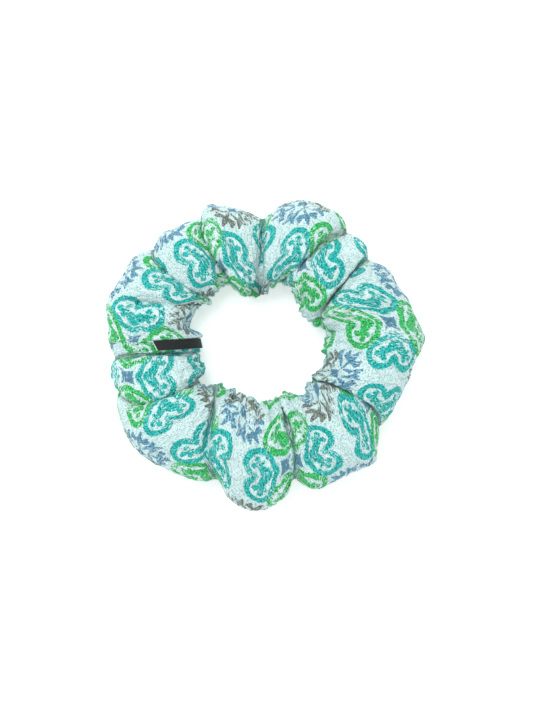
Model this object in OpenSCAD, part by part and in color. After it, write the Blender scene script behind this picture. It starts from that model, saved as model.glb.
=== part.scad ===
// Hair scrunchie: a cloth tube gathered into puffs on a closed loop of flat elastic.
// It lies flat: +Z is up, the table is z = 0, and the origin is the centre of the hair opening.
// Angles are in degrees, anticlockwise from +X. The closing seam of the tube is at 180 degrees.

/* [Cover] */
// Width over the whole cloth ring, left to right
ring_w = 110; // [100:1:120]
// Height of the fullest puff above the table
cover_h = 25; // [22:0.5:28]
// Thickness of the gathered cloth
cloth_t = 1.8; // [1.2:0.1:1.8]
// Gap between neighbouring puffs
puff_gap = 0.8; // [0.6:0.1:1.2]
// Gap between the two tube ends where the closing seam's thread runs
closing_gap = 1.2; // [1.1:0.1:1.6]

/* [Elastic] */
// Inner radius of the relaxed elastic loop
elastic_r = 25; // [24.8:0.1:25.6]
// Width of the flat elastic
elastic_w = 5.6; // [4:0.2:5.6]
// Thickness of the flat elastic
elastic_t = 1.2; // [1:0.1:1.4]
// Diameter of one rubber cord in the elastic
cord_d = 0.6; // [0.4:0.05:0.65]
// Number of rubber cords in the elastic
cord_count = 5; // [3:1:5]
// How far the elastic's two ends overlap, in degrees
lap_deg = 20; // [14:1:22]

/* [Stitching] */
// Thickness of the sewing thread
thread_d = 0.4; // [0.3:0.05:0.45]
// Length of one stitch
stitch_l = 2.2; // [1.6:0.1:2.4]
// Spacing of the stitches along the long seam
stitch_pitch = 3.2; // [3:0.1:4]
// Number of stitches around the closing seam
closing_stitches = 26; // [18:1:28]
// Number of zigzag stitches that join the elastic's ends
join_stitches = 8; // [4:1:9]

/* [Label] */
// Width of the label across the seam, from the seam to its fold
label_w = 3.9; // [3:0.1:4]
// Thickness of the folded label
label_t = 0.8; // [0.6:0.1:1]
// Angle on the tube's section where the label starts, near the top
label_top_deg = 92; // [88:1:96]
// Angle on the tube's section where the label ends, near the hair opening
label_end_deg = 166; // [150:1:168]

/* [Hidden] */
$fn = 48;
scale_k = ring_w / 110;

// One row per puff, anticlockwise from the closing seam:
// [angle where it ends, outer crest radius, inner crest radius, crest height as a share of cover_h]
first_deg = 180;
puff_rows = [
    [200, 52.5, 20.0, 0.84],
    [227, 55.5, 20.5, 0.96],
    [254, 54.0, 17.6, 0.94],
    [285, 57.3, 18.8, 1.00],
    [325, 57.3, 18.6, 0.98],
    [363, 57.0, 21.0, 0.94],
    [397, 55.5, 18.0, 0.96],
    [411, 51.2, 18.2, 0.90],
    [448, 52.2, 20.0, 1.00],
    [474, 49.5, 16.2, 0.96],
    [499, 50.0, 20.8, 0.92],
    [525, 53.5, 20.6, 0.98],
    [540, 53.2, 20.8, 0.88]
];
puff_count = len(puff_rows);
// The pinched section where each puff starts, and last where the last one ends: [outer radius, inner radius]
valley_rows = [
    [50.5, 21.0], [52.0, 21.5], [53.5, 20.5], [51.0, 19.0], [51.0, 20.0], [53.0, 21.5], [55.0, 21.5],
    [50.0, 19.5], [49.5, 20.0], [44.8, 18.0], [48.5, 21.2], [49.0, 21.2], [52.5, 21.5], [50.5, 21.0]
];
// Height of every pinched section as a share of cover_h
valley_h = 0.72;
// How quickly a puff fills out from its pinched ends: lower is fuller
swell_power = 0.6;
// Where the rings of a puff's skin lie along it
stations = [0, 0.12, 0.35, 0.65, 0.88, 1];
section_sides = 18;
// The widest point of a section lies at this share of its height
waist = 0.44;

// The elastic runs at the waist of the pinched sections
elastic_z = waist * valley_h * cover_h;
cord_play = 0.025;
cord_pitch = elastic_w / cord_count;
// The loop's overlap lies inside puff 10
lap_mid_deg = 101;
lap_play = 0.02;
// The label slants across the seam: the turn of its sewn edge, and that edge's place
label_slant = 3.4;
label_shift = 2.9;
// Clearance between thread and cloth, and between label and cloth
thread_play = 0.05;
label_play = 0.8;

function two_digits(i) = i < 10 ? str("0", i) : str(i);
function mix(a, b, t) = a + (b - a) * t;
function swell(t) = pow(max(0, sin(180 * t)), swell_power);

// Puff i, counted from 1: where it starts and ends
function start_deg(i) = i == 1 ? first_deg : puff_rows[i - 2][0];
function end_deg(i) = puff_rows[i - 1][0];
// Its section at t, from 0 at its start to 1 at its end: [outer radius, inner radius, height]
function section_size(i, t) = let (
    row = puff_rows[i - 1],
    pinch = mix(valley_rows[i - 1], valley_rows[i], t),
    full = swell(t)
) [
    scale_k * mix(pinch[0], row[1], full),
    scale_k * mix(pinch[1], row[2], full),
    cover_h * mix(valley_h, row[3], full)
];
function mid_radius(size) = (size[0] + size[1]) / 2;

// A point of a section at angle a, inset into the cloth: [radius from the ring's centre, height]
function section_point(size, a, inset) = [
    mid_radius(size) + ((size[0] - size[1]) / 2 - inset) * cos(a),
    max(inset, waist * size[2] + ((1 - waist) * size[2] - inset) * sin(a))
];

// A point of the ring's own plane section turned to an angle, and shifted along the ring
function around(point, deg, shift) = [
    point[0] * cos(deg) - shift * sin(deg),
    point[0] * sin(deg) + shift * cos(deg),
    point[1]
];

// Half of the gap at the start and at the end of puff i
function start_gap(i) = (i == 1 ? closing_gap : puff_gap) / 2;
function end_gap(i) = (i == puff_count ? closing_gap : puff_gap) / 2;

// The rings of one skin of puff i, one after another
function skin_points(i, inset) = [
    for (t = stations)
        for (s = [0 : section_sides - 1])
            around(
                section_point(section_size(i, t), 360 * s / section_sides, inset),
                mix(start_deg(i), end_deg(i), t),
                mix(start_gap(i), -end_gap(i), t)
            )
];

// The two triangles of a patch between corners a, b, c and d
function patch(a, b, c, d) = [[a, b, c], [a, c, d]];

// One gathered puff of the cloth tube: an outer and an inner skin, joined at its two open ends
module cover_puff(i) {
    rings = len(stations);
    inner = rings * section_sides;
    last = (rings - 1) * section_sides;
    faces = [
        for (k = [0 : rings - 2])
            for (s = [0 : section_sides - 1])
                let (
                    a = k * section_sides + s,
                    b = k * section_sides + (s + 1) % section_sides,
                    c = b + section_sides,
                    d = a + section_sides
                )
                each concat(patch(a, b, c, d), patch(inner + a, inner + d, inner + c, inner + b)),
        for (s = [0 : section_sides - 1])
            let (e = (s + 1) % section_sides)
            each concat(
                patch(s, inner + s, inner + e, e),
                patch(last + s, last + e, inner + last + e, inner + last + s)
            )
    ];
    color("lightcyan")
        polyhedron(concat(skin_points(i, 0), skin_points(i, cloth_t)), faces);
}

// A straight stitch of sewing thread along X, centred on the origin
module stitch(length) {
    rotate([0, 90, 0]) cylinder(h = length, d = thread_d, center = true);
}

// The thread of the tube's long seam, which lies inside on the floor of puff i
module long_seam_stitches(i) {
    start_r = mid_radius(section_size(i, 0));
    span = end_deg(i) - start_deg(i);
    count = floor(span * PI / 180 * start_r / stitch_pitch);
    color("white")
        for (n = [0 : count - 1])
            let (
                t = (n + 0.5) / count,
                r = mid_radius(section_size(i, t)),
                z = cloth_t + thread_play + thread_d / 2
            )
            rotate([0, 0, start_deg(i) + span * t])
                translate([r, 0, z])
                    rotate([0, 0, 90]) stitch(stitch_l);
}

// The flat section of the elastic, with a hole for each rubber cord
module elastic_section(r) {
    difference() {
        translate([r, elastic_z - elastic_w / 2]) square([elastic_t, elastic_w]);
        cord_sections(r, cord_d / 2 + cord_play);
    }
}

// The round sections of the rubber cords, side by side across the elastic
module cord_sections(r, cord_r) {
    for (n = [0 : cord_count - 1])
        translate([r + elastic_t / 2, elastic_z + (n - (cord_count - 1) / 2) * cord_pitch])
            circle(cord_r);
}

// The overlapping end of the elastic, just outside the loop
module on_lap() {
    rotate([0, 0, lap_mid_deg - lap_deg / 2])
        rotate_extrude(angle = lap_deg) children();
}

// The braided sleeve of the flat elastic: a closed loop with its end lapped over it
module elastic_braid() {
    color("whitesmoke") {
        rotate_extrude() elastic_section(elastic_r);
        on_lap() elastic_section(elastic_r + elastic_t + lap_play);
    }
}

// The rubber cords inside the braid, in the loop and in its lap
module rubber_cords() {
    color("tan") {
        rotate_extrude() cord_sections(elastic_r, cord_d / 2);
        on_lap() cord_sections(elastic_r + elastic_t + lap_play, cord_d / 2);
    }
}

// The zigzag thread that joins the elastic's two ends, on the lap's outer face
module elastic_join_stitches() {
    zig_deg = 35;
    join_r = elastic_r + 2 * elastic_t + lap_play + thread_play + thread_d / 2;
    step = (lap_deg - 4) / join_stitches;
    color("white")
        for (n = [0 : join_stitches - 1])
            rotate([0, 0, lap_mid_deg + (n - (join_stitches - 1) / 2) * step])
                translate([join_r + thread_d / 2, 0, elastic_z])
                    rotate([(n % 2 == 0 ? 1 : -1) * zig_deg, 0, 0])
                        cylinder(h = elastic_w * 0.6, d = thread_d, center = true);
}

// The thread of the closing seam: a ring of stitches between the tube's two ends
module closing_seam_stitches() {
    size = section_size(1, 0);
    color("white")
        for (n = [0 : closing_stitches - 1])
            let (
                a = 360 * (n + 0.5) / closing_stitches,
                here = section_point(size, a, cloth_t / 2),
                ahead = section_point(size, a + 2, cloth_t / 2),
                slope = atan2(ahead[1] - here[1], ahead[0] - here[0])
            )
            rotate([0, 0, first_deg])
                translate([here[0], 0, here[1]])
                    rotate([0, -slope, 0]) stitch(stitch_l * 0.75);
}

// The folded woven label: caught in the closing seam, it lies over puff 1 towards the hair opening
module label() {
    steps = 9;
    size = section_size(1, 0.5);
    lower = [
        for (n = [0 : steps])
            section_point(size, mix(label_top_deg, label_end_deg, n / steps), -label_play)
    ];
    upper = [
        for (n = [steps : -1 : 0])
            section_point(size, mix(label_top_deg, label_end_deg, n / steps), -label_play - label_t)
    ];
    color("darkslategray")
        translate([0, label_shift, 0])
            rotate([0, 0, first_deg + label_slant])
                translate([0, label_w, 0])
                    rotate([90, 0, 0])
                        linear_extrude(label_w) polygon(concat(lower, upper));
}

for (i = [1 : puff_count]) {
    cover_puff(i);
    long_seam_stitches(i);
}
elastic_braid();
rubber_cords();
elastic_join_stitches();
closing_seam_stitches();
label();
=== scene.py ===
"""A gathered hair scrunchie of printed crepe, seen from straight above.

The cover is one cloth tube, kept as a grid: its rows go round the ring from the closing seam, and
its columns go round the tube from the long seam underneath. It is shaped in millimetres, settled as
cloth and cut at the puffs' middles.
"""

import math

import bmesh
import bpy
import numpy as np
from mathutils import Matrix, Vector, noise


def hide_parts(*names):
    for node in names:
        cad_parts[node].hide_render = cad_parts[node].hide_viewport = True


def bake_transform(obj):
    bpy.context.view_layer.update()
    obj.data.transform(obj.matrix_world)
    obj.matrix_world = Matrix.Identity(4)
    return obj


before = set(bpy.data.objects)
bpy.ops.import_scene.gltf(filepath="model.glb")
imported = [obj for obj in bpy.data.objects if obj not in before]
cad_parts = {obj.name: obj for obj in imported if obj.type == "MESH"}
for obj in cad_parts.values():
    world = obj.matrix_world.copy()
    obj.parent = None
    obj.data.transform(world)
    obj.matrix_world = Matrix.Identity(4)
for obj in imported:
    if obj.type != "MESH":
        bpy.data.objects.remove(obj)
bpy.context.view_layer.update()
MM = 0.001

# ------------------------------------ the ring, in millimetres and degrees

# Its outline from above: (angle, radius from the hair opening's centre)
OUTER_EDGE = [
    (0, 57.9), (8, 56), (15, 54.5), (21, 52.3), (30, 52), (36.5, 50), (43, 51.2), (50, 50), (55, 52),
    (65, 52.2), (74, 51.3), (80, 48.8), (87, 44.3), (92, 45), (97, 46.5), (105, 49), (110, 51),
    (114, 48.3), (122, 48.6), (132, 50.3), (138.5, 49.2), (145, 52.2), (155, 52.7), (165, 54),
    (172, 52.7), (179, 51.6), (185, 50.6), (192, 51.9), (200, 52.7), (207, 54.5), (217, 56),
    (228, 55.2), (238, 53.2), (248, 51.8), (254.5, 50.8), (259, 54.5), (265, 57.4), (274, 57),
    (280, 54.3), (285, 50.8), (290, 54.3), (300, 54.5), (308, 55.8), (315, 57.8), (320, 55.3),
    (325, 53.5), (334, 52.6), (345, 53.8), (355, 56),
]
INNER_EDGE = [
    (0, 22), (10, 23.7), (15, 21.6), (20, 18.7), (27, 16.9), (36, 17.2), (45, 18.3), (55, 21.4),
    (65, 21.5), (71, 20.2), (76, 17), (85, 15.1), (92, 14.7), (100, 15), (105, 16.5), (110, 20.4),
    (118, 21.4), (126, 21.5), (135, 21.3), (145, 20.2), (153, 22), (161, 24.2), (167, 23.8),
    (175, 21), (185, 19.7), (200, 20), (212, 20.6), (221, 21.9), (225, 18.5), (235, 17.6),
    (250, 16.9), (262, 17.5), (270, 19.3), (280, 18.5), (295, 18.2), (301, 18.4), (305, 20.6),
    (312, 22.7), (320, 21.4), (326, 20.1), (335, 21.8), (350, 22.3),
]
# Height of its top
TOP_HEIGHT = [
    (0, 24), (20, 24.5), (44, 23.5), (68, 25), (87, 21), (101, 24.5), (115, 21.5), (127, 23.5),
    (140, 21.5), (152, 24.5), (168, 24), (181, 21), (192, 22.5), (207, 22.5), (222, 25), (243, 24),
    (268, 25.5), (287, 22.5), (305, 25), (326, 23), (344, 24.5),
]
WAIST = 0.45          # the section's widest point, as a share of its height
SECTION_POWER = 0.86  # below 1 the section is fuller than an ellipse
TABLE_SOFTNESS = 1.6  # how far above the table the underside starts to flatten

# Folds that part the puffs, anticlockwise from the closing seam: (angle at the outer edge, halfway,
# at the inner edge, depth, width, overlap towards higher angles, where it starts: 0 is the outer edge)
FOLDS = [
    (186.5, 187.5, 193.0, 6.0, 7.0, -2.0, 0.0),
    (198.0, 212.0, 213.5, 6.5, 7.5, -2.4, 0.0),
    (254.4, 241.0, 223.0, 5.0, 8.0, 1.2, 0.0),
    (270.0, 270.0, 270.0, 2.0, 5.0, 0.0, 0.22),
    (284.6, 288.5, 291.5, 7.0, 7.0, 2.0, 0.0),
    (293.0, 296.5, 302.0, 4.0, 6.0, 0.0, 0.2),
    (325.0, 332.5, 325.0, 7.0, 8.0, -2.2, 0.0),
    (360.0, 358.0, 357.0, 1.8, 6.0, 0.0, 0.42),
    (396.6, 394.5, 375.0, 8.0, 8.0, -2.6, 0.0),
    (411.0, 417.0, 428.0, 5.5, 7.0, 1.8, 0.0),
    (447.5, 446.5, 445.5, 6.0, 7.0, 1.6, 0.0),
    (473.0, 476.5, 468.0, 7.5, 8.0, 2.4, 0.0),
    (497.6, 502.0, 494.5, 5.5, 7.0, 1.4, 0.0),
    (530.0, 520.0, 505.0, 5.5, 7.0, -1.8, 0.3),
]
# Short pleats that run out from the inner edge: (angle, depth, width, reach as a share of the top)
PLEATS = [
    (8, 1.6, 4.0, 0.30), (26, 1.8, 4.0, 0.32), (44, 2.2, 4.5, 0.40), (57, 1.4, 3.6, 0.26),
    (77, 2.0, 4.2, 0.34), (96, 1.6, 4.0, 0.30), (120, 2.2, 4.4, 0.36), (128, 1.2, 3.4, 0.24),
    (152, 2.0, 4.2, 0.34), (163, 1.4, 3.6, 0.28), (174, 1.6, 3.8, 0.26), (215, 1.6, 4.0, 0.30),
    (234, 2.0, 4.2, 0.40), (247, 1.6, 3.8, 0.34), (259, 1.8, 4.0, 0.44), (280, 2.0, 4.2, 0.42),
    (312, 1.8, 4.0, 0.30), (342, 1.8, 4.2, 0.32), (349, 1.2, 3.4, 0.24),
]

# The puffs of the CAD model: where each starts, and where the last one ends
PUFF_ENDS = [180, 200, 227, 254, 285, 325, 363, 397, 411, 448, 474, 499, 525, 540]
PUFF_MIDDLES = [(a + b) / 2 for a, b in zip(PUFF_ENDS, PUFF_ENDS[1:])]
# The cover is cut at the closing seam, and at the middle of every puff but the first and the last
SEAM_ANGLE = 180
CUTS = [SEAM_ANGLE] + PUFF_MIDDLES[1:-1] + [SEAM_ANGLE + 360]

GRID_ROWS = 360       # rings of vertices along the tube while it is shaped and settled
GRID_COLS = 72        # vertices around the tube
FINER_ROWS = 4        # how many times finer the finished cover is
FINER_COLS = 3

# The flat strip that the modelled cover amounts to. A real one would be longer, as the finest gathers
# and the cloth deep in the folds aren't modelled.
STRIP_WIDTH = 92.0


# ------------------------------------ curves and grids

def periodic(points, degrees):
    """A smooth closed curve through (angle, value) points, read at many angles."""
    angles = np.array([p[0] for p in points], float)
    values = np.array([p[1] for p in points], float)
    angles = np.concatenate([angles - 360, angles, angles + 360])
    values = np.tile(values, 3)
    at = np.mod(degrees, 360)
    k = np.searchsorted(angles, at, side="right") - 1
    step = angles[k + 1] - angles[k]
    t = (at - angles[k]) / step
    slope = np.gradient(values, angles)
    return (
        values[k] * (1 + 2 * t) * (1 - t) ** 2
        + values[k + 1] * t * t * (3 - 2 * t)
        + slope[k] * step * t * (1 - t) ** 2
        - slope[k + 1] * step * t * t * (1 - t)
    )


def smooth(t):
    t = np.clip(t, 0, 1)
    return t * t * (3 - 2 * t)


def between(value, rise, fall):
    """1 between two soft edges and 0 outside them.

    rise is (where it starts, how long it is), and fall is (where it ends, how long it is).
    """
    return smooth((value - rise[0]) / rise[1]) * smooth((fall[0] - value) / fall[1])


def grid_angles(rows, cols):
    """Angle around the ring from the closing seam, and around the tube from the long seam."""
    theta = SEAM_ANGLE + np.arange(rows) * 360 / rows
    phi = -90 + np.arange(cols) * 360 / cols
    return np.meshgrid(theta, phi, indexing="ij")


def inwardness(phi):
    """0 at the outer edge and 1 at the inner edge, over the top or under the bottom alike."""
    return 1 - np.abs(phi % 360 - 180) / 180


def fold_angle(fold, s):
    """Where a fold lies at a place from the outer edge, 0, to the inner edge, 1."""
    outer, middle, inner = fold[:3]
    return outer * (1 - s) * (1 - 2 * s) + middle * 4 * s * (1 - s) + inner * s * (2 * s - 1)


def turn_between(a, b):
    """Signed angle from b to a, from -180 to 180."""
    return (a - b + 180) % 360 - 180


def finer(grid, factor, axis):
    """Catmull-Rom refinement of a closed grid along one axis."""
    p0, p1 = np.roll(grid, 1, axis), grid
    p2, p3 = np.roll(grid, -1, axis), np.roll(grid, -2, axis)
    parts = []
    for k in range(factor):
        t = k / factor
        parts.append(
            0.5 * (
                2 * p1
                + (p2 - p0) * t
                + (2 * p0 - 5 * p1 + 4 * p2 - p3) * t * t
                + (3 * p1 - p0 - 3 * p2 + p3) * t ** 3
            )
        )
    shape = list(grid.shape)
    shape[axis] *= factor
    return np.stack(parts, axis=axis + 1).reshape(shape)


def relaxed(grid, times):
    """A closed grid with each point moved towards the middle of its neighbours."""
    for _ in range(times):
        around = np.roll(grid, 1, 1) + np.roll(grid, -1, 1)
        along = np.roll(grid, 1, 0) + np.roll(grid, -1, 0)
        grid = 0.5 * grid + 0.125 * (around + along)
    return grid


def grid_normals(points):
    """Outward normals of a closed grid."""
    along = np.roll(points, -1, 0) - np.roll(points, 1, 0)
    around = np.roll(points, -1, 1) - np.roll(points, 1, 1)
    n = np.cross(along, around)
    return n / np.maximum(np.linalg.norm(n, axis=-1, keepdims=True), 1e-9)


def strip_faces(count, cols):
    """Quads of a tube of count rings with cols vertices each."""
    i, j = np.meshgrid(np.arange(count - 1), np.arange(cols), indexing="ij")
    j2 = (j + 1) % cols
    corners = [i * cols + j, (i + 1) * cols + j, (i + 1) * cols + j2, i * cols + j2]
    return np.stack(corners, axis=-1).reshape(-1, 4)


# ------------------------------------ mesh helpers

def new_mesh(name, points, faces, uv=None, normals=None):
    """A smooth mesh object from places in millimetres. uv has one pair for each face's corner."""
    mesh = bpy.data.meshes.new(name)
    mesh.vertices.add(len(points))
    mesh.vertices.foreach_set("co", (np.asarray(points) * MM).astype(np.float32).ravel())
    mesh.loops.add(faces.size)
    mesh.loops.foreach_set("vertex_index", faces.astype(np.int32).ravel())
    mesh.polygons.add(len(faces))
    mesh.polygons.foreach_set("loop_start", np.arange(0, faces.size, faces.shape[1], dtype=np.int32))
    mesh.update(calc_edges=True)
    mesh.polygons.foreach_set("use_smooth", np.ones(len(faces), bool))
    if uv is not None:
        layer = mesh.uv_layers.new(name="cloth")
        layer.data.foreach_set("uv", np.asarray(uv, np.float32).ravel())
    if normals is not None:
        mesh.normals_split_custom_set_from_vertices(normals.tolist())
    obj = bpy.data.objects.new(name, mesh)
    bpy.context.scene.collection.objects.link(obj)
    return obj


# ------------------------------------ the cover's shape

FOLD_DEPTH = (0.12, 0.8)   # share of a fold's depth that is everywhere, and added on an arch
FOLD_ARCH = (0.04, 0.84)   # where on the arch the outer edge is, and how far the cloth runs over it
FOLD_START_FADE = 0.12
FOLD_WIDTH = 0.85
FOLD_TAPER = (1.15, 0.55)  # its width at the outer edge, and how much of it is lost at the inner edge
DIP_POWER = 1.6            # the sides of a fold or pleat
SOFT_DIP = 0.62            # shares of a fold's depth that have soft sides, and a sharp crease
SHARP_DIP = 0.38
SHARP_DIP_WIDTH = 0.13
LIP_PLACE = 0.38           # where the cloth laps over a fold, in fold widths
LIP_WIDTH = 0.3
PLEAT_FADE = 0.2


def plain_tube(theta, phi):
    """The ring before it is folded: each point's radius and height."""
    outer = periodic(OUTER_EDGE, theta)
    inner = periodic(INNER_EDGE, theta)
    height = periodic(TOP_HEIGHT, theta)
    c = np.cos(np.radians(phi))
    s = np.sin(np.radians(phi))
    c = np.sign(c) * np.abs(c) ** SECTION_POWER
    s = np.sign(s) * np.abs(s) ** SECTION_POWER
    radius = (outer + inner) / 2 + (outer - inner) / 2 * c
    return radius, height * (WAIST + (1 - WAIST) * s)


def fold_cloth(theta, phi, radius, z):
    """Push the folds and pleats into the tube. Returns the vertices' places."""
    s = inwardness(phi)
    inward = np.zeros_like(radius)
    along = np.zeros_like(radius)
    arch = np.sin(np.pi * np.clip(FOLD_ARCH[0] + FOLD_ARCH[1] * s, 0, 1))
    strength = FOLD_DEPTH[0] + FOLD_DEPTH[1] * arch
    for fold in FOLDS:
        depth, width, overlap, start = fold[3:]
        here = strength * (smooth((s - start) / FOLD_START_FADE) if start else 1)
        distance = np.radians(turn_between(theta, fold_angle(fold, s))) * radius
        t = distance / (FOLD_WIDTH * width * (FOLD_TAPER[0] - FOLD_TAPER[1] * s))
        soft_dip = np.clip(1 - np.abs(t), 0, 1) ** DIP_POWER
        sharp_dip = np.exp(-np.abs(t) / SHARP_DIP_WIDTH)
        inward += depth * here * (SOFT_DIP * soft_dip + SHARP_DIP * sharp_dip)
        lip = np.exp(-((t + LIP_PLACE * np.sign(overlap)) / LIP_WIDTH) ** 2)
        along += overlap * here * lip
    for angle, depth, width, reach in PLEATS:
        distance = np.radians(turn_between(theta, angle)) * radius
        fade = smooth((s - (1 - reach)) / PLEAT_FADE)
        inward += depth * fade * np.clip(1 - np.abs(distance) / width, 0, 1) ** DIP_POWER
    radius = radius - inward * np.cos(np.radians(phi))
    z = z - inward * np.sin(np.radians(phi))
    a = np.radians(theta)
    x = radius * np.cos(a) - along * np.sin(a)
    y = radius * np.sin(a) + along * np.cos(a)
    return np.stack([x, y, z], axis=-1)


def rest_on_table(points):
    """Press the underside flat on the table, with a soft edge."""
    z = points[..., 2]
    low = TABLE_SOFTNESS * np.exp((np.minimum(z, TABLE_SOFTNESS) - TABLE_SOFTNESS) / TABLE_SOFTNESS)
    points[..., 2] = np.where(z < TABLE_SOFTNESS, low, z)
    return points


# ------------------------------------ cloth simulation

SIM_SCALE = 10.0       # the cloth solver works on a ring ten times its size
SIM_FRAMES = 18
SIM_PRESSURE = 1.2
SPARE_CLOTH = 0.34     # how far the sewn tube is from the loose one, which is longer and wider
LOOSE_RADIUS = 76.0    # the ring that the strip would make without its elastic
SETTLE_CAP = 3.2       # how far a point may move, in millimetres
INNER_HOLD = 40        # degrees around the tube over which the hold at its inner edge fades out
SEAM_HOLD = 50         # the same for the hold at its long seam
SEAM_HOLD_SHARE = 0.6  # which is weaker
LEAST_HOLD = 0.02


def settle(points, theta, phi):
    """Let the shaped tube buckle and fill out as cloth, held at its inner edge and its long seam."""
    rows, cols = points.shape[:2]
    faces = strip_faces(rows, cols)
    i = np.full(cols, rows - 1)
    j = np.arange(cols)
    j2 = (j + 1) % cols
    faces = np.concatenate([faces, np.stack([i * cols + j, j, j2, i * cols + j2], axis=-1)])
    obj = new_mesh("settling", points.reshape(-1, 3) * SIM_SCALE, faces)
    a, b = np.radians(theta), np.radians(phi)
    tube = STRIP_WIDTH / (2 * math.pi)
    loose = np.stack([
        (LOOSE_RADIUS + tube * np.cos(b)) * np.cos(a),
        (LOOSE_RADIUS + tube * np.cos(b)) * np.sin(a),
        tube * (1 + np.sin(b)),
    ], axis=-1)
    rest = points + (loose - points) * SPARE_CLOTH
    obj.shape_key_add(name="sewn")
    key = obj.shape_key_add(name="spare")
    key.data.foreach_set("co", (rest * SIM_SCALE * MM).astype(np.float32).ravel())
    held = obj.vertex_groups.new(name="held")
    hold = np.maximum(
        smooth(1 - np.abs(turn_between(phi, 180)) / INNER_HOLD),
        SEAM_HOLD_SHARE * smooth(1 - np.abs(turn_between(phi, -90)) / SEAM_HOLD),
    ).ravel()
    for index in np.nonzero(hold > LEAST_HOLD)[0]:
        held.add([int(index)], float(hold[index]), "REPLACE")
    cloth = obj.modifiers.new("cloth", "CLOTH")
    settings = cloth.settings
    settings.rest_shape_key = key
    settings.vertex_group_mass = "held"
    settings.pin_stiffness = 1.0
    settings.quality = 5
    settings.mass = 0.3
    settings.air_damping = 4.0
    settings.tension_stiffness = 20
    settings.compression_stiffness = 20
    settings.shear_stiffness = 5
    settings.bending_stiffness = 0.15
    settings.use_pressure = True
    settings.uniform_pressure_force = SIM_PRESSURE
    settings.effector_weights.gravity = 0
    cloth.collision_settings.use_collision = False
    scene = bpy.context.scene
    cloth.point_cache.frame_start = 1
    cloth.point_cache.frame_end = SIM_FRAMES
    for number in range(1, SIM_FRAMES + 1):
        scene.frame_set(number)
    done = obj.evaluated_get(bpy.context.evaluated_depsgraph_get()).to_mesh()
    moved = np.empty(rows * cols * 3, np.float32)
    done.vertices.foreach_get("co", moved)
    moved = moved.reshape(points.shape) / (SIM_SCALE * MM)
    bpy.data.objects.remove(obj)
    scene.frame_set(1)
    step = moved - points
    size = np.linalg.norm(step, axis=-1, keepdims=True)
    step *= SETTLE_CAP * np.tanh(size / SETTLE_CAP) / np.maximum(size, 1e-6)
    return points + step


# The noises that crumple the cloth: how many cells they have in a millimetre, how wide their creases
# are in the noise's own values, and how high or deep they are in millimetres
DENTS_PER_MM = 0.075
CREASES_PER_MM = 0.13
CREASE_WIDTH = 0.08
CREASE_DEPTH = 0.55
CRINKLES_PER_MM = 0.27
CRINKLE_WIDTH = 0.12
CRINKLE_DEPTH = 0.32
BUMPS_PER_MM = 0.5
BUMP_HEIGHT = 0.25
GATHERS = (16.0, 0.09, 0.06)   # cells in a radian around the ring, and in a millimetre up and outward
GATHER_HEIGHT = (0.35, 1.3)    # everywhere, and added towards the inner edge
GATHER_RADIUS = 28.0
GATHER_FADE = 3.5
NOISE_SHIFT = 40               # so that creases and crinkles don't follow the other noises


def noise_at(x, y, z):
    return noise.noise(Vector((x, y, z)))


def crumple(points, normals):
    """Soft dents and fine creases of loosely woven crepe, and gathers that grow towards the elastic."""
    flat = points.reshape(-1, 3)
    inner = 1.0 / (1.0 + np.exp((np.hypot(flat[:, 0], flat[:, 1]) - GATHER_RADIUS) / GATHER_FADE))
    lift = np.empty(len(flat))
    for index, (x, y, z) in enumerate(flat.tolist()):
        dents = noise_at(x * DENTS_PER_MM, y * DENTS_PER_MM, z * DENTS_PER_MM)
        a, b, c = x * CREASES_PER_MM, y * CREASES_PER_MM, z * CREASES_PER_MM
        crease = max(0.0, 1 - abs(noise_at(a + NOISE_SHIFT, b, c)) / CREASE_WIDTH)
        a, b, c = x * CRINKLES_PER_MM, y * CRINKLES_PER_MM, z * CRINKLES_PER_MM
        crinkle = max(0.0, 1 - abs(noise_at(a, b + NOISE_SHIFT, c)) / CRINKLE_WIDTH)
        ribs = noise_at(math.atan2(y, x) * GATHERS[0], z * GATHERS[1], math.hypot(x, y) * GATHERS[2])
        gathers = (GATHER_HEIGHT[0] + GATHER_HEIGHT[1] * inner[index]) * ribs
        bumps = noise_at(x * BUMPS_PER_MM, y * BUMPS_PER_MM, z * BUMPS_PER_MM)
        sunk = CREASE_DEPTH * crease * crease
        lift[index] = dents - sunk - CRINKLE_DEPTH * crinkle + gathers + BUMP_HEIGHT * bumps
    return points + normals * lift.reshape(points.shape[:2] + (1,))


# ------------------------------------ the elastic's place

ELASTIC_RADIUS = 25.0
ELASTIC_WIDTH = 5.6
ELASTIC_THICKNESS = 1.2
ELASTIC_HEIGHT = 7.92
ELASTIC_ROOM = 0.8      # the cover passes inside the elastic with this much to spare
ELASTIC_REACH = 2.4     # how far above and below the elastic the cover is still moved
ELASTIC_FADE = 2.0
INNER_WALL = (0.55, 0.1)  # where the inner wall starts, 0 at the outer edge, and over what it fades in


def clear_elastic(points, phi):
    """Where a fold reaches the elastic, the cloth is held on the elastic's inner side."""
    radius = np.hypot(points[..., 0], points[..., 1])
    away = np.abs(points[..., 2] - ELASTIC_HEIGHT)
    level = smooth((ELASTIC_WIDTH / 2 + ELASTIC_REACH - away) / ELASTIC_FADE)
    inner_wall = smooth((inwardness(phi) - INNER_WALL[0]) / INNER_WALL[1])
    excess = np.maximum(radius - (ELASTIC_RADIUS - ELASTIC_ROOM), 0)
    scale = 1 - excess * level * inner_wall / radius
    points[..., :2] *= scale[..., None]
    return points


# ------------------------------------ the label's place

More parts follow.
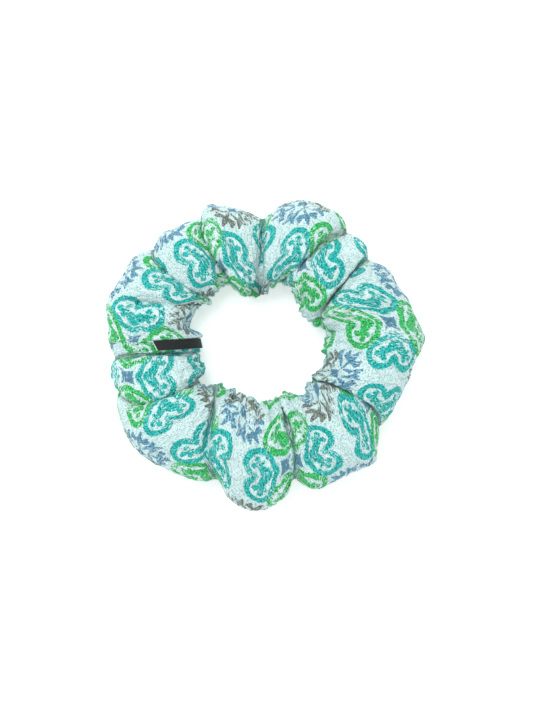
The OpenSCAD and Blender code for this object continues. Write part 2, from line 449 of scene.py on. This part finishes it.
LABEL_TURN = 183.4           # the label runs towards the hair opening, in its own turned frame:
LABEL_SHIFT = 2.9            # x outward along it, y from its sewn edge to its fold
LABEL_EDGE = 0.2             # where the sewn edge goes under the cloth
LABEL_WIDTH = 3.6
LABEL_PLY = 0.3
LABEL_MIDDLE = (36.25, 9.24)  # the section that it is curved over: an ellipse's centre
LABEL_REACH = (17.05, 12.56)  # and its half axes
LABEL_SPAN = (90.0, 163.0)   # where it starts and ends on that ellipse
LABEL_SLANT = 5.5            # how much further in its folded edge lies than its sewn edge
DENT_UNDER_LABEL = 0.935     # how far out the cover may lie under the label, as a share of that ellipse
LAP_OVER_LABEL = 1.05        # and where it laps over the sewn edge
# Where the cover makes room: along the label on that ellipse in degrees, and across it, under the label
# and over its sewn edge, in millimetres. The pairs are as in between().
ROOM_ALONG = ((82, 10), (176, 8))
ROOM_UNDER = ((-0.1, 0.7), (LABEL_WIDTH + 2.2, 2.2))
ROOM_OVER = ((-4.0, 3.4), (0.5, 0.8))
ROOM_SIZES = (0.5, 1.4)      # cloth nearer to the ellipse's middle, or further out, isn't moved


def to_label(points):
    """Places in the label's frame."""
    c, s = math.cos(math.radians(LABEL_TURN)), math.sin(math.radians(LABEL_TURN))
    x, y = points[..., 0], points[..., 1] - LABEL_SHIFT
    return np.stack([c * x + s * y, c * y - s * x, points[..., 2]], axis=-1)


def from_label(points):
    c, s = math.cos(math.radians(LABEL_TURN)), math.sin(math.radians(LABEL_TURN))
    x, y = points[..., 0], points[..., 1]
    return np.stack([c * x - s * y, s * x + c * y + LABEL_SHIFT, points[..., 2]], axis=-1)


def make_room(points):
    """Press the cover down under the label, and lap a fold of it over the label's sewn edge."""
    local = to_label(points)
    across = (local[..., 0] - LABEL_MIDDLE[0]) / LABEL_REACH[0]
    up = (local[..., 2] - LABEL_MIDDLE[1]) / LABEL_REACH[1]
    angle = np.degrees(np.arctan2(up, across))
    size = np.hypot(across, up)
    y = local[..., 1]
    along = between(angle, *ROOM_ALONG)
    under = along * between(y, *ROOM_UNDER)
    over = along * between(y, *ROOM_OVER)
    wanted = np.minimum(size, DENT_UNDER_LABEL)
    size_now = size + (wanted - size) * under
    size_now = np.maximum(size_now, size_now + (LAP_OVER_LABEL - size_now) * over)
    scale = size_now / np.maximum(size, 1e-6)
    scale = np.where((size > ROOM_SIZES[0]) & (size < ROOM_SIZES[1]), scale, 1.0)
    local[..., 0] = LABEL_MIDDLE[0] + (local[..., 0] - LABEL_MIDDLE[0]) * scale
    local[..., 2] = LABEL_MIDDLE[1] + (local[..., 2] - LABEL_MIDDLE[1]) * scale
    return from_label(local)


GROOVE_DEPTH = 0.45
GROOVE_WIDTH = 0.8


def seam_groove(points, phi):
    """The long seam underneath pulls a shallow groove into the cloth."""
    distance = np.radians(turn_between(phi, -90)) * STRIP_WIDTH / (2 * math.pi)
    points[..., 2] += GROOVE_DEPTH * np.exp(-(distance / GROOVE_WIDTH) ** 2)
    return points


# ------------------------------------ where the print lies on the cloth

# Each puff's cloth shows its own part of the print, as the rest is tucked away in the folds.
# At the middle of the top of each stretch between two folds lies this place of the print, with this
# turn: (along in millimetres, across in millimetres, degrees), or None where a shallow fold doesn't
# break the print
PRINT_PLACES = [
    (10, 2, 45), (1, 11, 6), (-2, 18, 106), (8, 24, -90), None, (-7, 3, 90), None, (-10, -19, 80),
    None, (-4, -11, 35), (4, 14, 104), (-3, 13, -112), (1, 13, 104), (0, 15, 106), None,
]
PRINT_JOIN = 1.1      # half the width of the strip in which one puff's print gives way to the next
EVEN_ALONG = 6        # neighbours on each side that a step's length is averaged with
EVEN_ACROSS = 12


def evened(steps, axis, reach):
    """Step lengths averaged with their neighbours, so that small dents do not bend the print."""
    return sum(np.roll(steps, k, axis) for k in range(-reach, reach + 1)) / (2 * reach + 1)


def cloth_places(points):
    """Each vertex's place on the flat cloth, in millimetres along and across the strip."""
    rows, cols = points.shape[:2]
    step = evened(np.linalg.norm(np.roll(points, -1, 0) - points, axis=-1), 1, EVEN_ALONG)
    along = np.concatenate([np.zeros((1, cols)), np.cumsum(step, 0)])
    step = evened(np.linalg.norm(np.roll(points, -1, 1) - points, axis=-1), 0, EVEN_ACROSS)
    across = np.concatenate([np.zeros((rows, 1)), np.cumsum(step, 1)], axis=1)
    across = np.concatenate([across, across[:1]])
    across -= across[:, cols // 2][:, None]
    along = np.concatenate([along, along[:, :1]], axis=1)
    theta = SEAM_ANGLE + np.arange(rows + 1)[:, None] * 360 / rows
    phi = -90 + np.arange(cols + 1)[None, :] * 360 / cols
    s = inwardness(phi)
    bounds = [np.full_like(s, SEAM_ANGLE)]
    bounds += [fold_angle(fold, s) for fold in FOLDS]
    bounds += [np.full_like(s, SEAM_ANGLE + 360)]
    radius = np.hypot(points[..., 0], points[..., 1])
    radius = np.concatenate([radius, radius[:1]])
    radius = np.concatenate([radius, radius[:, :1]], axis=1)
    place = None
    for k, entry in enumerate(PRINT_PLACES):
        if entry is None:
            continue
        u0, v0, turn = entry
        middle = (bounds[k] + bounds[k + 1]) / 2
        row = np.clip(np.round((middle[0] - SEAM_ANGLE) * rows / 360).astype(int), 0, rows)
        du = along - along[row, np.arange(cols + 1)][None, :]
        c, h = math.cos(math.radians(turn)), math.sin(math.radians(turn))
        here = np.stack([u0 + c * du - h * across, v0 + h * du + c * across], axis=-1)
        if place is None:
            place = here
            continue
        distance = np.radians(theta - bounds[k]) * radius
        share = smooth((distance + PRINT_JOIN) / (2 * PRINT_JOIN))[..., None]
        place = place * (1 - share) + here * share
    return place


# ------------------------------------ shader arithmetic

def linear(r, g, b):
    """A colour given as it looks on screen, 0 to 255."""
    values = [c / 255 for c in (r, g, b)]
    values = [c / 12.92 if c <= 0.04045 else ((c + 0.055) / 1.055) ** 2.4 for c in values]
    return (*values, 1.0)


class Shader:
    """A material whose node tree is written as arithmetic on sockets."""

    def __init__(self, name, roughness, sheen=0.0, specular=0.5):
        self.material = bpy.data.materials.new(name)
        self.material.use_nodes = True
        self.tree = self.material.node_tree
        self.surface = self.tree.nodes["Principled BSDF"]
        self.surface.inputs["Roughness"].default_value = roughness
        self.surface.inputs["Sheen Weight"].default_value = sheen
        self.surface.inputs["Specular IOR Level"].default_value = specular

    def put(self, socket, value):
        if isinstance(value, bpy.types.NodeSocket):
            self.tree.links.new(value, socket)
        else:
            socket.default_value = value

    def math(self, operation, *values, clamp=False):
        node = self.tree.nodes.new("ShaderNodeMath")
        node.operation = operation
        node.use_clamp = clamp
        for socket, value in zip(node.inputs, values):
            self.put(socket, value)
        return node.outputs[0]

    def vector(self, operation, *values, scale=None):
        node = self.tree.nodes.new("ShaderNodeVectorMath")
        node.operation = operation
        for socket, value in zip(node.inputs, values):
            self.put(socket, value)
        if scale is not None:
            self.put(node.inputs["Scale"], scale)
        return node.outputs["Value" if operation in ("DISTANCE", "DOT_PRODUCT") else "Vector"]

    def split(self, vector):
        node = self.tree.nodes.new("ShaderNodeSeparateXYZ")
        self.put(node.inputs[0], vector)
        return node.outputs[0], node.outputs[1]

    def join(self, x, y):
        node = self.tree.nodes.new("ShaderNodeCombineXYZ")
        self.put(node.inputs[0], x)
        self.put(node.inputs[1], y)
        return node.outputs[0]

    def cloth_mm(self):
        """The place on the flat cloth, in millimetres."""
        node = self.tree.nodes.new("ShaderNodeUVMap")
        node.uv_map = "cloth"
        return self.vector("SCALE", node.outputs[0], scale=1 / MM)

    def object_mm(self):
        node = self.tree.nodes.new("ShaderNodeTexCoord")
        return self.vector("SCALE", node.outputs["Object"], scale=1 / MM)

    def noise(self, place, scale, detail=2.0, stretch=None, colour=False):
        if stretch is not None:
            place = self.vector("MULTIPLY", place, stretch)
        node = self.tree.nodes.new("ShaderNodeTexNoise")
        self.put(node.inputs["Vector"], place)
        node.inputs["Scale"].default_value = scale
        node.inputs["Detail"].default_value = detail
        return node.outputs["Color" if colour else "Fac"]

    def mix(self, share, a, b):
        node = self.tree.nodes.new("ShaderNodeMix")
        node.data_type = "RGBA"
        self.put(node.inputs[0], share)
        self.put(node.inputs[6], a)
        self.put(node.inputs[7], b)
        return node.outputs[2]

    def edge(self, distance, softness):
        """1 where the distance is below zero, 0 where it is above, over a soft edge."""
        return self.math("MULTIPLY_ADD", distance, -1 / softness, 0.5, clamp=True)

    def smallest(self, *distances):
        result = distances[0]
        for other in distances[1:]:
            result = self.math("MINIMUM", result, other)
        return result

    def disc(self, place, x, y, radius):
        return self.math("SUBTRACT", self.vector("DISTANCE", place, (x, y, 0)), radius)

    def stroke(self, place, start, end, start_radius, end_radius):
        """Distance to a straight brush stroke that swells or thins along its length."""
        run = (end[0] - start[0], end[1] - start[1], 0)
        length = run[0] ** 2 + run[1] ** 2
        away = self.vector("SUBTRACT", place, (*start, 0))
        t = self.math("MULTIPLY", self.vector("DOT_PRODUCT", away, run), 1 / length, clamp=True)
        nearest = self.vector("SCALE", run, scale=t)
        width = self.math("MULTIPLY_ADD", t, end_radius - start_radius, start_radius)
        return self.math("SUBTRACT", self.vector("DISTANCE", away, nearest), width)

    def bump(self, height, strength, distance):
        node = self.tree.nodes.new("ShaderNodeBump")
        node.inputs["Strength"].default_value = strength
        node.inputs["Distance"].default_value = distance
        self.put(node.inputs["Height"], height)
        self.put(self.surface.inputs["Normal"], node.outputs[0])

    def colour(self, value):
        self.put(self.surface.inputs["Base Color"], value)


# ------------------------------------ the printed crepe

TILE = 41.0                 # the print repeats at this distance, mirrored both ways
GROUND = linear(224, 248, 248)
GROUND_SHADE = linear(208, 240, 239)
# painted shade in the gaps between the crepe's threads
GROUND_GAP_SHADE = linear(132, 194, 198)
# painted highlight on the crepe's nubs
GROUND_NUB_HIGHLIGHT = linear(246, 255, 254)
TEAL = linear(34, 172, 166)
GREEN = linear(54, 178, 96)
SLATE = linear(88, 142, 168)
STONE = linear(112, 124, 116)
STRAY = linear(226, 170, 120)
PRINT_EDGE = 0.35           # how softly a motif ends
NEAR_SQUARE = 2.9           # half the size of the squares between the hearts' tips
CORNER_SQUARE = 2.2         # and of those between the sprigs
WOBBLE = 1.4                # how far the print wanders from its straight grid
CREPE_BUMP = 0.0016


def heart(sh, p):
    """A thick outline of two round lobes, with a leafy stalk that forks into them."""
    lobe = sh.disc(p, 5.0, 12.2, 4.5)
    body = sh.stroke(p, (0, 5.9), (2.2, 9.2), 1.7, 4.3)
    outline = sh.math("SMOOTH_MIN", lobe, body, 1.5)
    band = sh.math("SUBTRACT", sh.math("ABSOLUTE", outline), 1.12)
    stalk = sh.smallest(
        sh.stroke(p, (0.0, 7.9), (4.3, 11.5), 2.05, 1.0),
        sh.stroke(p, (4.3, 12.0), (4.2, 13.5), 0.7, 1.15),
        sh.stroke(p, (5.1, 11.7), (6.5, 12.2), 0.7, 1.15),
        sh.stroke(p, (4.2, 10.7), (5.0, 10.1), 0.8, 0.95),
    )
    return sh.smallest(band, stalk)


def concave_square(sh, x, y, half):
    """A square whose sides bend in, about the place where x and y are 0."""
    near = sh.math("MINIMUM", x, y)
    far = sh.math("MAXIMUM", x, y)
    side = sh.math("MULTIPLY_ADD", sh.math("MULTIPLY", near, near), 0.1, 0.72 * half)
    return sh.math("MAXIMUM", sh.math("SUBTRACT", far, side), sh.math("SUBTRACT", far, half))


def sprig(sh, p):
    """A leaf sprig on the diagonal between two hearts. Its side leaves meet their mirror images."""
    return sh.smallest(
        sh.stroke(p, (18.4, 18.4), (15.3, 15.3), 0.35, 0.8),
        sh.stroke(p, (14.8, 14.8), (12.2, 12.2), 1.3, 0.3),
        sh.stroke(p, (15.4, 15.9), (13.3, 17.0), 0.6, 1.35),
        sh.stroke(p, (13.3, 17.0), (11.6, 16.1), 1.3, 0.5),
        sh.stroke(p, (17.4, 18.9), (13.0, 19.9), 0.35, 1.0),
        sh.stroke(p, (13.0, 19.9), (11.0, 18.8), 1.1, 0.5),
    )


def printed_crepe():
    sh = Shader("printed_crepe", 0.88, sheen=0.1, specular=0.25)
    flat = sh.cloth_mm()
    wobble = sh.vector("SUBTRACT", sh.noise(flat, 0.2, colour=True), (0.5, 0.5, 0.5))
    place = sh.vector("MULTIPLY_ADD", wobble, (WOBBLE, WOBBLE, 0), flat)
    x, y = sh.split(place)
    a = sh.math("PINGPONG", x, TILE / 2)
    b = sh.math("PINGPONG", y, TILE / 2)
    near = sh.math("MINIMUM", a, b)
    far = sh.math("MAXIMUM", a, b)
    p = sh.join(near, far)
    # ragged edges where the print meets the crepe's grain
    grain = sh.noise(flat, 2.6, detail=2.0)
    ragged = sh.math("MULTIPLY_ADD", grain, 0.8, -0.4)
    hearts = sh.edge(sh.math("ADD", heart(sh, p), ragged), PRINT_EDGE)
    leaves = sh.edge(sh.math("ADD", sprig(sh, p), ragged), PRINT_EDGE)
    corner_x, corner_y = sh.split(sh.vector("SUBTRACT", (TILE / 2, TILE / 2, 0), p))
    near_square = concave_square(sh, near, far, NEAR_SQUARE)
    corner_square = concave_square(sh, corner_x, corner_y, CORNER_SQUARE)
    squares = sh.smallest(near_square, corner_square)
    squares = sh.edge(sh.math("ADD", squares, ragged), PRINT_EDGE)
    # the grain's ribs leave flecks of bare cloth in the print, in patches
    flecks = sh.noise(flat, 1.2, detail=1.5, stretch=(0.5, 1.4, 1))
    patches = sh.noise(flat, 0.1, detail=1.0)
    bare = sh.math("SUBTRACT", flecks, sh.math("MULTIPLY_ADD", patches, -0.7, 0.90))
    cover = sh.math("MULTIPLY_ADD", bare, -9.0, 1.15, clamp=True)
    cover = sh.math("MULTIPLY_ADD", cover, 0.84, 0.16)
    green_side = sh.edge(sh.math("SUBTRACT", b, a), 0.2)
    half = sh.math("FLOOR", sh.math("DIVIDE", x, TILE / 2))
    whole = sh.math("FLOOR", sh.math("DIVIDE", y, TILE))
    stone_side = sh.math("PINGPONG", sh.math("ADD", half, whole), 1.0)
    # the cloth's own tone is cloudy; on top of it, painted highlight on its nubs and painted shade in
    # the gaps between its threads, from the same noise as the bump
    cloud = sh.math("MULTIPLY_ADD", sh.noise(flat, 0.09), 2.2, -0.6, clamp=True)
    nubs = sh.noise(flat, 1.7, detail=2.5)
    ground = sh.mix(cloud, GROUND_SHADE, GROUND)
    # painted shade where the nub noise is low
    ground = sh.mix(sh.math("MULTIPLY_ADD", nubs, -9.0, 4.15, clamp=True), ground, GROUND_GAP_SHADE)
    # painted highlight where the nub noise is high
    ground = sh.mix(sh.math("MULTIPLY_ADD", nubs, 7.0, -3.8, clamp=True), ground, GROUND_NUB_HIGHLIGHT)
    # painted highlight on the nubs and painted shade in the gaps, on the print as well
    painted_weave_light = sh.math("MULTIPLY_ADD", nubs, 5.0, -1.36)
    paint = sh.vector("SCALE", sh.mix(green_side, TEAL, GREEN), scale=painted_weave_light)
    dark_paint = sh.vector("SCALE", sh.mix(stone_side, SLATE, STONE), scale=painted_weave_light)
    colour = sh.mix(sh.math("MULTIPLY", hearts, cover), ground, paint)
    colour = sh.mix(sh.math("MULTIPLY", leaves, cover), colour, dark_paint)
    colour = sh.mix(sh.math("MULTIPLY", squares, cover), colour, SLATE)
    # single stray threads in another colour
    thread = sh.noise(flat, 0.16, detail=0.0, stretch=(0.6, 9.0, 1))
    colour = sh.mix(sh.math("MULTIPLY_ADD", thread, 30.0, -25.6, clamp=True), colour, STRAY)
    sh.colour(colour)
    ribs = sh.noise(flat, 1.1, detail=2.0, stretch=(0.8, 1.7, 1))
    half_ribs = sh.math("MULTIPLY", ribs, 0.5)
    half_nubs = sh.math("MULTIPLY", nubs, 0.5)
    sh.bump(sh.math("ADD", half_ribs, half_nubs), 1.0, CREPE_BUMP)
    return sh.material


WARP_PITCH = 0.32
WEFT_PITCH = 0.42


def woven_label():
    """Black woven ribbon: a fine weave, a paler heat-cut end, a soft sheen."""
    sh = Shader("woven_label", 0.6, sheen=0.05, specular=0.3)
    flat = sh.cloth_mm()
    x, y = sh.split(flat)
    warp = sh.math("SINE", sh.math("MULTIPLY", x, 2 * math.pi / WARP_PITCH))
    weft = sh.math("SINE", sh.math("MULTIPLY", y, 2 * math.pi / WEFT_PITCH))
    weave = sh.math("MULTIPLY", warp, weft)
    wear = sh.noise(flat, 0.9, detail=3.0)
    worn = sh.math("MULTIPLY_ADD", wear, 0.9, -0.1)
    shade = sh.math("MULTIPLY_ADD", weave, 0.22, worn, clamp=True)
    colour = sh.mix(shade, linear(12, 15, 17), linear(34, 40, 44))
    cut = sh.edge(sh.math("SUBTRACT", x, sh.math("MULTIPLY_ADD", wear, 0.5, 0.12)), 0.15)
    sh.colour(sh.mix(cut, colour, linear(196, 204, 200)))
    sh.bump(sh.math("MULTIPLY_ADD", weave, 0.5, 0.5), 0.5, 0.0001)
    return sh.material


def yarn(name, tint, pitch, on_uv=True):
    """Spun or braided yarn: strands that cross on a slant, of uneven tone."""
    sh = Shader(name, 0.8, sheen=0.2)
    place = sh.cloth_mm() if on_uv else sh.object_mm()
    x, y = sh.split(place)
    strands = sh.math("SINE", sh.math("MULTIPLY", sh.math("ADD", x, y), 2 * math.pi / pitch))
    crossing = sh.math("SINE", sh.math("MULTIPLY", sh.math("SUBTRACT", x, y), 2 * math.pi / pitch))
    weave = sh.math("MULTIPLY_ADD", sh.math("MULTIPLY", strands, crossing), 0.5, 0.5)
    tone = sh.math("MULTIPLY", weave, sh.math("MULTIPLY_ADD", sh.noise(place, 0.7), 1.2, 0.2))
    sh.colour(sh.mix(tone, tuple(0.7 * c for c in tint[:3]) + (1.0,), tint))
    sh.bump(weave, 0.5, 0.0001)
    return sh.material


def rubber():
    """Dusty natural rubber."""
    sh = Shader("cord_rubber", 0.5)
    dust = sh.noise(sh.object_mm(), 0.8, detail=4.0)
    sh.colour(sh.mix(dust, linear(186, 158, 112), linear(224, 204, 164)))
    sh.bump(dust, 0.2, 0.00005)
    return sh.material


# ------------------------------------ pieces along the ring


def bend_with_ring(piece):
    """Bake the transform of a piece, which runs from one cut to the next, into its mesh."""
    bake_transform(piece)


def corner_places(places, faces, cols):
    """One place on the flat cloth for each face's corner. Places have one column more than rings."""
    i, j = faces // cols, faces % cols
    j[:, 2:] = np.where(j[:, 2:] == 0, cols, j[:, 2:])
    return (places[i, j] * MM).reshape(-1, 2)


def add_tubes(name, tubes, material):
    """An object of closed tubes. Each tube is rings of points, in millimetres."""
    points, faces, places, offset = [], [], [], 0
    for rings in tubes:
        count, cols = rings.shape[:2]
        run = np.linalg.norm(np.diff(rings.mean(1), axis=0), axis=-1)
        run = np.concatenate([[0], np.cumsum(run)])[:, None] + np.zeros((1, cols + 1))
        girth = np.linalg.norm(np.roll(rings, -1, 1) - rings, axis=-1)
        girth = np.concatenate([np.zeros((count, 1)), np.cumsum(girth, 1)], axis=1)
        tube_faces = strip_faces(count, cols)
        places.append(corner_places(np.stack([run, girth], axis=-1), tube_faces, cols))
        points.append(rings.reshape(-1, 3))
        faces.append(tube_faces + offset)
        offset += count * cols
    obj = new_mesh(name, np.concatenate(points), np.concatenate(faces), np.concatenate(places))
    ends = bmesh.new()
    ends.from_mesh(obj.data)
    bmesh.ops.holes_fill(ends, edges=[e for e in ends.edges if e.is_boundary], sides=0)
    ends.to_mesh(obj.data)
    ends.free()
    obj.data.materials.append(material)
    return obj


def along_ring(section, start, end):
    """Rings of a section's (radius, height) points, from one angle to another."""
    angles = np.radians(np.linspace(start, end, max(2, round(end - start) + 1)))[:, None]
    radius, height = np.array(section, float).T
    rings = [radius * np.cos(angles), radius * np.sin(angles), height + 0 * angles]
    return np.stack(rings, axis=-1)


def round_thread(path, radius):
    """Rings of a thread along a path that isn't upright, with its ends narrowed."""
    forward = np.gradient(path, axis=0)
    side = np.cross(forward, (0, 0, 1))
    side /= np.linalg.norm(side, axis=-1, keepdims=True)
    rise = np.cross(side, forward)
    rise /= np.linalg.norm(rise, axis=-1, keepdims=True)
    size = np.full(len(path), radius)
    size[[0, -1]] *= 0.4
    turn = np.radians(np.arange(6) * 60)[None, :, None]
    around = np.cos(turn) * side[:, None] - np.sin(turn) * rise[:, None]
    return path[:, None] + size[:, None, None] * around


# ------------------------------------ the cover

theta, phi = grid_angles(GRID_ROWS, GRID_COLS)
cover = rest_on_table(fold_cloth(theta, phi, *plain_tube(theta, phi)))
cover = settle(cover, theta, phi)
cover = relaxed(cover, 1)
cover = finer(finer(cover, FINER_ROWS, 0), FINER_COLS, 1)
ROWS, COLS = cover.shape[:2]
phi = grid_angles(ROWS, COLS)[1]
cover = crumple(cover, grid_normals(cover))
cover = rest_on_table(make_room(cover))
cover = seam_groove(clear_elastic(cover, phi), phi)
cover_normals = grid_normals(cover)
cover_places = cloth_places(cover)
crepe = printed_crepe()


def cut_rows(index):
    """The rings of vertices from one cut to the next, both included."""
    first, last = (round((cut - SEAM_ANGLE) * ROWS / 360) for cut in CUTS[index:index + 2])
    return np.arange(first, last + 1)


def cover_piece(index):
    """The cloth from one cut to the next."""
    rows = cut_rows(index)
    points = cover[rows % ROWS].reshape(-1, 3)
    normals = cover_normals[rows % ROWS].reshape(-1, 3)
    faces = strip_faces(len(rows), COLS)
    places = corner_places(cover_places[rows], faces, COLS)
    piece = new_mesh(f"crepe_cover_{index + 1:02d}", points, faces, places, normals)
    piece.data.materials.append(crepe)
    bend_with_ring(piece)
    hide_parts(f"cover_puff_{index + 1:02d}", f"cover_puff_{index + 2:02d}")


# ------------------------------------ the thread of the long seam

STITCH_PITCH = 3.0
STITCH_LENGTH = 2.4
STITCH_START = 0.4
STITCH_POINTS = 7
STITCH_RISE = (0.3, 0.18)   # how high its middle stands over its ends, and how deep those are sunk
SEAM_THREAD_RADIUS = 0.17


def seam_thread(index, material):
    """Straight lockstitches in the groove underneath."""
    rows = cut_rows(index)
    path = cover[rows % ROWS, 0]
    out = cover_normals[rows % ROWS, 0]
    run = np.concatenate([[0], np.cumsum(np.linalg.norm(np.diff(path, axis=0), axis=-1))])
    stitches = []
    for start in np.arange(STITCH_START, run[-1] - STITCH_LENGTH, STITCH_PITCH):
        at = start + np.linspace(0, STITCH_LENGTH, STITCH_POINTS)
        place = np.stack([np.interp(at, run, path[:, k]) for k in range(3)], axis=-1)
        away = np.stack([np.interp(at, run, out[:, k]) for k in range(3)], axis=-1)
        arch = np.sin(np.linspace(0, math.pi, STITCH_POINTS)) ** 0.5
        rise = STITCH_RISE[0] * arch - STITCH_RISE[1]
        stitches.append(round_thread(place + away * rise[:, None], SEAM_THREAD_RADIUS))
    piece = add_tubes(f"long_seam_thread_{index + 1:02d}", stitches, material)
    bend_with_ring(piece)
    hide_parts(f"long_seam_stitches_{index + 1:02d}", f"long_seam_stitches_{index + 2:02d}")


# ------------------------------------ the elastic inside

LAP_RADIUS = ELASTIC_RADIUS + ELASTIC_THICKNESS + 0.02
LAP_ENDS = (451, 461, 471)
LAP_PIECE = 8           # the ring piece that the lap's first half lies in
CORD_COUNT = 5
CORD_RADIUS = 0.3
SLEEVE_HALF = 0.5       # half of the sleeve's mean thickness
RIB_HEIGHT = 0.1
SLEEVE_EDGE = 0.3       # the width over which it thins out at its edges
SLEEVE_THINNING = 0.85  # the share of its thickness that it loses there


def braid_section(radius):
    """The braided sleeve: flat, with a rib over each cord."""
    half = ELASTIC_WIDTH / 2
    height = np.linspace(-half, half, 41)
    wave = np.cos(2 * math.pi * CORD_COUNT * (height / ELASTIC_WIDTH + 0.5) + math.pi)
    rib = SLEEVE_HALF + RIB_HEIGHT * wave
    rise = np.clip((half - np.abs(height)) / SLEEVE_EDGE, 0, 1) ** 0.5
    rib *= rise * SLEEVE_THINNING + (1 - SLEEVE_THINNING)
    middle = radius + ELASTIC_THICKNESS / 2
    outside = [(middle + r, ELASTIC_HEIGHT + h) for r, h in zip(rib, height)]
    inside = [(middle - r, ELASTIC_HEIGHT + h) for r, h in zip(rib[::-1], height[::-1])]
    return outside + inside


def cord_sections(radius):
    middle = radius + ELASTIC_THICKNESS / 2
    pitch = ELASTIC_WIDTH / CORD_COUNT
    turn = np.radians(np.arange(8) * 45)
    heights = [ELASTIC_HEIGHT + (n - (CORD_COUNT - 1) / 2) * pitch for n in range(CORD_COUNT)]
    across, up = CORD_RADIUS * np.cos(turn), CORD_RADIUS * np.sin(turn)
    return [np.stack([middle + across, height + up], axis=-1) for height in heights]


def elastic_piece(number, index, start, end, radius, materials):
    """One stretch of the elastic: its braid and the rubber cords in it."""
    sleeve = along_ring(braid_section(radius), start, end)
    braid = add_tubes(f"elastic_sleeve_{number}", [sleeve], materials[0])
    bend_with_ring(braid)
    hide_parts("elastic_braid")
    cords = [along_ring(section, start, end) for section in cord_sections(radius)]
    cords = add_tubes(f"elastic_cords_{number}", cords, materials[1])
    bend_with_ring(cords)
    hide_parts("rubber_cords")


# ------------------------------------ the label

LABEL_WAVE = (0.14, 7.0)        # how high its slight waves are, and how many a full turn has


def label_piece():
    """A woven strip folded in two lengthwise, sewn in by its long edges and curved over the cover."""
    inner, outer = LABEL_PLY * 0.25, LABEL_PLY * 1.25
    fold_start = LABEL_WIDTH - outer
    flat = np.linspace(LABEL_EDGE, fold_start, 9)
    bend = np.radians(np.linspace(-90, 90, 9))
    loop = [(y, outer) for y in flat[::-1]]
    loop += [(y, inner) for y in flat]
    loop += [(fold_start + inner * math.cos(b), -inner * math.sin(b)) for b in bend[1:-1]]
    loop += [(y, -inner) for y in flat[::-1]]
    loop += [(y, -outer) for y in flat]
    loop += [(fold_start + outer * math.cos(b), outer * math.sin(b)) for b in bend[1:-1]]
    y, lift = np.array(loop).T
    angle = np.linspace(*LABEL_SPAN, 75)[:, None] + LABEL_SLANT * y / LABEL_WIDTH
    angle = np.radians(angle)
    # the strip isn't quite flat: it waves a little along its free fold
    lift = lift + LABEL_WAVE[0] * np.sin(angle * LABEL_WAVE[1]) * (y / LABEL_WIDTH) ** 2
    direction = np.stack([LABEL_REACH[1] * np.cos(angle), LABEL_REACH[0] * np.sin(angle)], axis=-1)
    direction /= np.linalg.norm(direction, axis=-1, keepdims=True)
    x = LABEL_MIDDLE[0] + LABEL_REACH[0] * np.cos(angle) + lift * direction[..., 0]
    z = LABEL_MIDDLE[1] + LABEL_REACH[1] * np.sin(angle) + lift * direction[..., 1]
    rings = from_label(np.stack([x, y + 0 * x, z], axis=-1))
    piece = add_tubes("woven_label", [rings], woven_label())
    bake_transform(piece)
    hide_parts("label")


PALE_THREAD = linear(222, 238, 235)
THREAD_PITCH = 0.3

sewing_thread = yarn("sewing_thread", PALE_THREAD, THREAD_PITCH)
for index in range(len(CUTS) - 1):
    cover_piece(index)
    seam_thread(index, sewing_thread)
elastic = (yarn("elastic_yarn", linear(240, 240, 234), 0.8), rubber())
for index in range(len(CUTS) - 1):
    elastic_piece(f"{index + 1:02d}", index, *CUTS[index:index + 2], ELASTIC_RADIUS, elastic)
for half in range(2):
    start, end = LAP_ENDS[half:half + 2]
    elastic_piece(f"lap_{half + 1}", LAP_PIECE + half, start, end, LAP_RADIUS, elastic)
label_piece()

# the threads of the two closings are kept as they are in the CAD, with a better material
carried_thread = yarn("carried_thread", PALE_THREAD, THREAD_PITCH, on_uv=False)
for name in ("elastic_join_stitches", "closing_seam_stitches"):
    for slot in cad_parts[name].material_slots:
        slot.material = carried_thread


# ------------------------------------ floor, light and camera

VIEW_CENTRE = (0.0032, -0.0044)
VIEW_HEIGHT = 0.2459
CAMERA_HEIGHT = 0.9
RING_MIDDLE = 0.012
SENSOR = 36
TABLE_HALF = 3000
TABLE_GAP = 0.0001      # keeps the table just under the ring
TABLE_GLOW = 0.35
KEY_PLACE = (-0.25, 0.35, 0.9)
KEY_SIZE = 0.5
KEY_POWER = 5
ROOM_LIGHT = 0.88


def camera():
    obj = bpy.data.objects.new("camera", bpy.data.cameras.new("camera"))
    bpy.context.scene.collection.objects.link(obj)
    obj.location = (*VIEW_CENTRE, CAMERA_HEIGHT + RING_MIDDLE)
    obj.data.sensor_width = SENSOR
    obj.data.lens = SENSOR * CAMERA_HEIGHT / VIEW_HEIGHT
    bpy.context.scene.camera = obj


def floor():
    corners = np.array([[-1, -1, 0], [1, -1, 0], [1, 1, 0], [-1, 1, 0]]) * TABLE_HALF
    obj = new_mesh("floor", corners, np.array([[0, 1, 2, 3]]))
    obj.location.z = -TABLE_GAP
    sh = Shader("paper", 0.9)
    node = sh.tree.nodes.new("ShaderNodeTexCoord")
    tone = sh.noise(node.outputs["Object"], 40.0)
    sh.colour(sh.mix(tone, (0.9, 0.9, 0.9, 1), (0.93, 0.93, 0.93, 1)))
    # the table gives some light of its own, so that shadows stay faint
    sh.surface.inputs["Emission Color"].default_value = (1, 1, 1, 1)
    sh.surface.inputs["Emission Strength"].default_value = TABLE_GLOW
    obj.data.materials.append(sh.material)


def area_light(name, place, size, power):
    data = bpy.data.lights.new(name, "AREA")
    data.size = size
    data.energy = power
    obj = bpy.data.objects.new(name, data)
    bpy.context.scene.collection.objects.link(obj)
    obj.location = place
    obj.rotation_euler = Vector(place).to_track_quat("Z", "Y").to_euler()


camera()
floor()
area_light("key", KEY_PLACE, KEY_SIZE, KEY_POWER)
world = bpy.data.worlds.new("room")
world.use_nodes = True
room = world.node_tree.nodes["Background"]
room.inputs["Color"].default_value = (1, 1, 1, 1)
room.inputs["Strength"].default_value = ROOM_LIGHT
bpy.context.scene.world = world
bpy.context.scene.view_settings.view_transform = "Standard"
